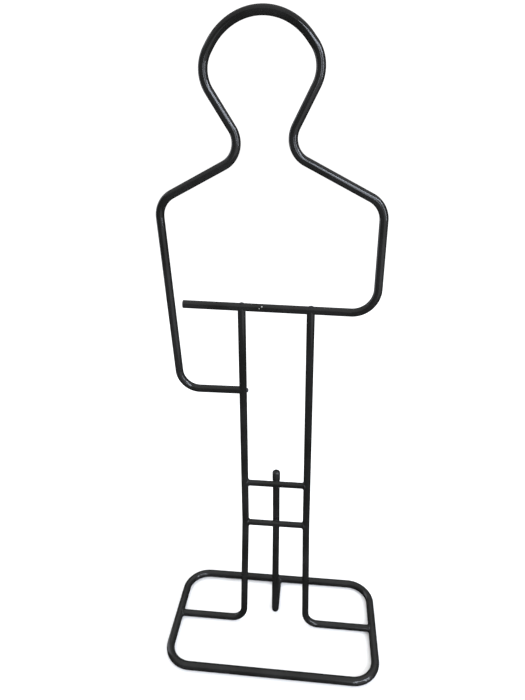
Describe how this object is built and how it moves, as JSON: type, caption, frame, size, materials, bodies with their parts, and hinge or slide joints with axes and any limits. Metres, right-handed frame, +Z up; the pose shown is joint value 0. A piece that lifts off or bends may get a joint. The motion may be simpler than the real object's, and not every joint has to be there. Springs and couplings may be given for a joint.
{
  "type": "valet stand",
  "caption": "Free-standing valet stand in black enamelled bent steel tube, the outline of a standing figure on a rounded rectangular floor ring.",
  "frame": {"origin": "on the floor under the middle of the base ring", "axes": "+X along the shoulders towards the closed hip, +Y from the front to the rear brace, +Z up"},
  "size_m": [0.436, 0.2534, 1.1551],
  "materials": {
    "enamelled_tube": "gloss",
    "enamelled_weld": "gloss",
    "black_screw": "satin",
    "black_plastic": "satin",
    "insert_steel": "satin"
  },
  "bodies": {
    "root": {"arm_screw": "black_screw", "bar_end_plug": "black_plastic", "base_ring": "enamelled_tube", "base_seam_weld": "enamelled_weld", "brace_cap": "black_plastic", "brace_ring_weld": "enamelled_weld", "figure_tube": "enamelled_tube", "forearm_insert": "insert_steel", "left_foot_weld": "enamelled_weld", "left_post": "enamelled_tube", "left_post_insert": "insert_steel", "left_waist_screw": "black_screw", "lower_crossbar": "enamelled_tube", "lower_lap_weld": "enamelled_weld", "lower_left_weld": "enamelled_weld", "lower_right_weld": "enamelled_weld", "rear_brace": "enamelled_tube", "right_foot_weld": "enamelled_weld", "right_post": "enamelled_tube", "right_post_insert": "insert_steel", "right_waist_screw": "black_screw", "upper_crossbar": "enamelled_tube", "upper_lap_weld": "enamelled_weld", "upper_left_weld": "enamelled_weld", "upper_right_weld": "enamelled_weld"}
  },
  "joints": []
}
